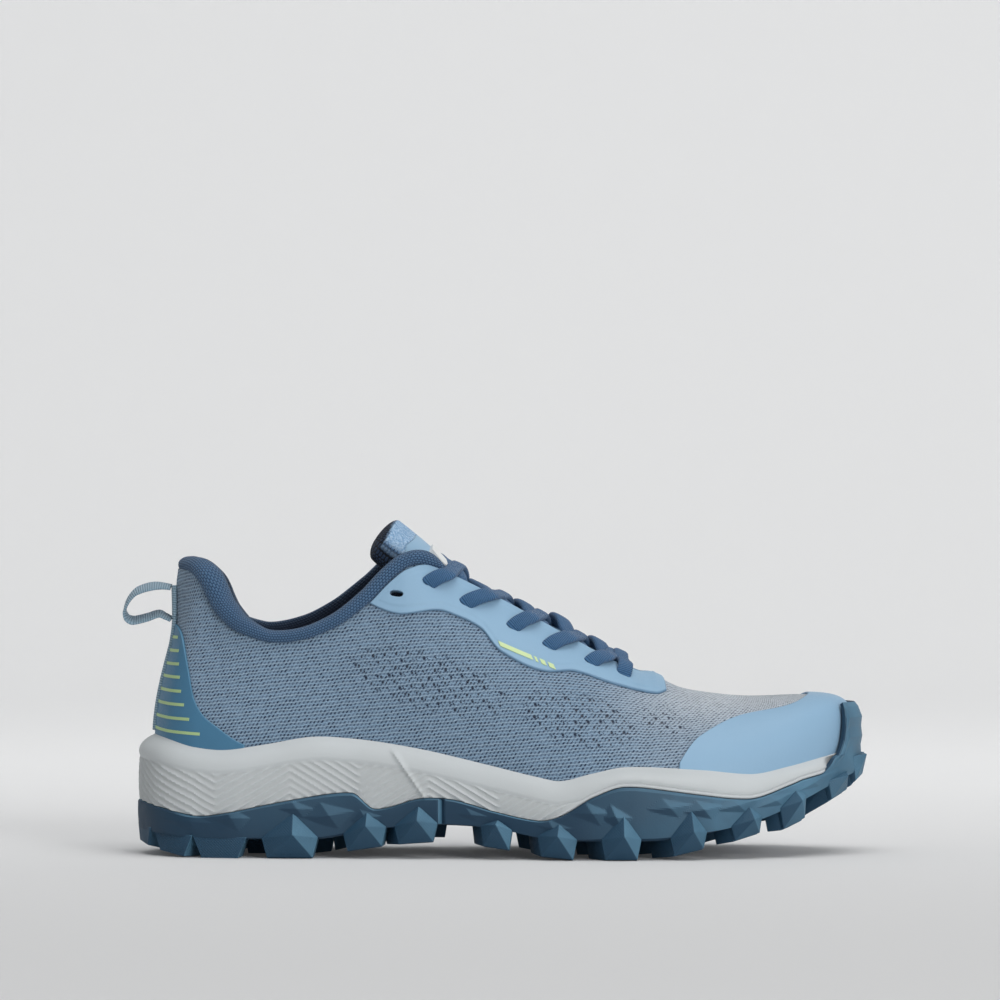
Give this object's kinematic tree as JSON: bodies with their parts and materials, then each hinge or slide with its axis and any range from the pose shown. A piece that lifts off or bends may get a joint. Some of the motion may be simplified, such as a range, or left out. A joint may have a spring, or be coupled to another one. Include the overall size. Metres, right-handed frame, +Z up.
{
  "type": "hiking shoe",
  "caption": "Low hiking shoe for the right foot: hollow knitted upper with film overlays, padded collar and tongue, flat lace, foam midsole and lugged rubber outsole.",
  "frame": {"origin": "middle of the shoe's box on the floor that it stands on", "axes": "+X from heel to toe, +Y towards the inner side of the foot, +Z up"},
  "size_m": [0.2816, 0.1042, 0.1263],
  "materials": {
    "rubber": "matte",
    "foam": "matte",
    "lining": "matte",
    "knit": "matte",
    "tongue_cloth": "matte",
    "film": "satin",
    "counter_film": "satin",
    "collar_cloth": "matte",
    "webbing": "matte",
    "lace": "matte"
  },
  "bodies": {
    "root": {"outsole": "rubber", "midsole": "foam", "insole": "lining", "upper": "knit", "tongue": "tongue_cloth", "toe_cap": "film", "heel_counter": "counter_film", "eyestay": "film", "collar": "collar_cloth", "heel_tape": "webbing", "pull_loop": "webbing", "lace_cross_1": "lace", "lace_cross_2": "lace", "lace_cross_3": "lace", "lace_cross_4": "lace", "lace_cross_5": "lace", "lace_bar": "lace"}
  },
  "joints": []
}
